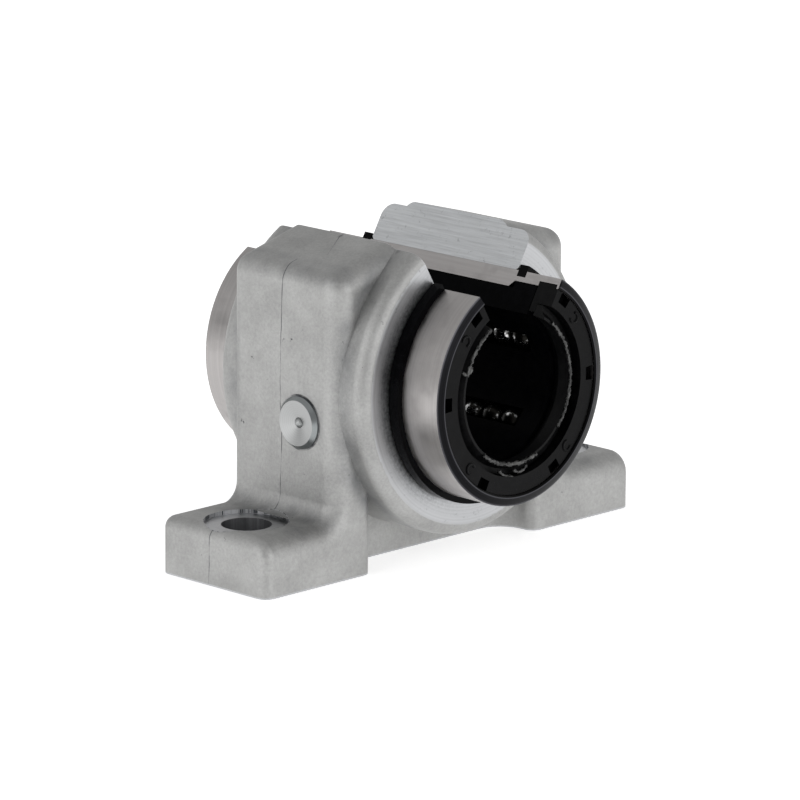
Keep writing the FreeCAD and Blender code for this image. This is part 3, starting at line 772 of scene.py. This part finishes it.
# A ring round the Y axis, cut open where keep says no; its angles in degrees count from the bottom.
def openTorus(major, minor, segments, keep):
    bpy.ops.mesh.primitive_torus_add(
        major_radius=major * mm, minor_radius=minor * mm, rotation=(math.radians(90), 0, 0),
        major_segments=segments, minor_segments=torusLook["roundSegments"],
    )
    torus = bpy.context.object
    bpy.ops.object.transform_apply(location=False, rotation=True, scale=False)
    bpy.ops.object.mode_set(mode="EDIT")
    bpy.ops.mesh.select_all(action="DESELECT")
    bpy.ops.object.mode_set(mode="OBJECT")
    for face in torus.data.polygons:
        face.select = not keep(math.degrees(math.atan2(face.center.x, -face.center.z)))
    bpy.ops.object.mode_set(mode="EDIT")
    bpy.ops.mesh.delete(type="FACE")
    bpy.ops.mesh.select_all(action="SELECT")
    bpy.ops.mesh.fill_holes(sides=0)
    bpy.ops.mesh.normals_make_consistent(inside=False)
    bpy.ops.object.mode_set(mode="OBJECT")
    bpy.ops.object.shade_smooth_by_angle(angle=math.radians(torusLook["smoothBelow"]))
    return torus


# Joins the bits into one piece with its place in its mesh, and gives it its finish and body.
def finishPiece(bits, name, finishName):
    deselectAll()
    for bit in bits:
        bit.select_set(True)
    bpy.context.view_layer.objects.active = bits[0]
    bpy.ops.object.join()
    piece = bpy.context.object
    bpy.ops.object.transform_apply(location=True, rotation=True, scale=True)
    bpy.context.scene.cursor.location = (0, 0, 0)
    bpy.ops.object.origin_set(type="ORIGIN_CURSOR")
    piece.name = name
    piece.data.materials.clear()
    piece.data.materials.append(finishes[finishName])
    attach(piece, "root")


# Small C-shaped ejector marks moulded on each end ring's face, each open away from the bottom of the ring.
markLook = {
    "angles": (-128, -45, 45, 128),
    "placeRadius": 13.3,
    "radius": 0.68,
    "thick": 0.19,
    "segments": 28,
    "gap": 50,
}


def makeMarks(name, side):
    marks = []
    for angle in markLook["angles"]:
        deselectAll()
        mark = openTorus(
            markLook["radius"], markLook["thick"], markLook["segments"], lambda at: abs(at - 90) > markLook["gap"],
        )
        turn = math.radians(angle)
        up = blockSizes["axisHeight"] - markLook["placeRadius"] * math.cos(turn)
        mark.location = (
            markLook["placeRadius"] * math.sin(turn) * mm, side * blockSizes["ringFace"] * mm, up * mm,
        )
        mark.rotation_euler.y = -turn
        marks.append(mark)
    finishPiece(marks, name, "black_plastic")


makeMarks("frontRingMarks", -1)
makeMarks("rearRingMarks", 1)
print("ring marks made")

# Ragged flash and grease on the front wiper: along its lip below, right and left, and in three curls beside it.
# Each arc has its radius, its centre across and up from the axis, its start and end angle, and its thickness.
flashLook = {
    "arcs": (
        (10.34, 0, 0, -38, 22, 0.26),
        (10.34, 0, 0, 50, 140, 0.2),
        (10.34, 0, 0, -149, -108, 0.22),
        (2.4, -1.3, -9.6, -60, 10, 0.24),
        (1.6, 0.5, -10.0, -40, 60, 0.2),
        (0.9, -9.9, 4.4, -60, 90, 0.2),
    ),
    "along": -21.75,
    "segmentsPerMm": 22,
    "fewestSegments": 24,
    "raggedness": 0.7,
    "evenness": 0.3,
    "firstSeed": 3,
}


def makeFlash():
    strips = []
    for radius, across, up, start, end, thick in flashLook["arcs"]:
        deselectAll()
        segments = max(flashLook["fewestSegments"], int(flashLook["segmentsPerMm"] * radius))
        strip = openTorus(radius, thick, segments, lambda at: start < at < end)
        bpy.ops.object.mode_set(mode="EDIT")
        bpy.ops.mesh.select_all(action="SELECT")
        bpy.ops.transform.vertex_random(
            offset=thick * flashLook["raggedness"] * mm,
            uniform=flashLook["evenness"], normal=flashLook["evenness"],
            seed=len(strips) + flashLook["firstSeed"],
        )
        bpy.ops.object.mode_set(mode="OBJECT")
        strip.location = (across * mm, flashLook["along"] * mm, (blockSizes["axisHeight"] + up) * mm)
        strips.append(strip)
    finishPiece(strips, "frontLipFlash", "rubber_flash")


makeFlash()
print("lip flash made")
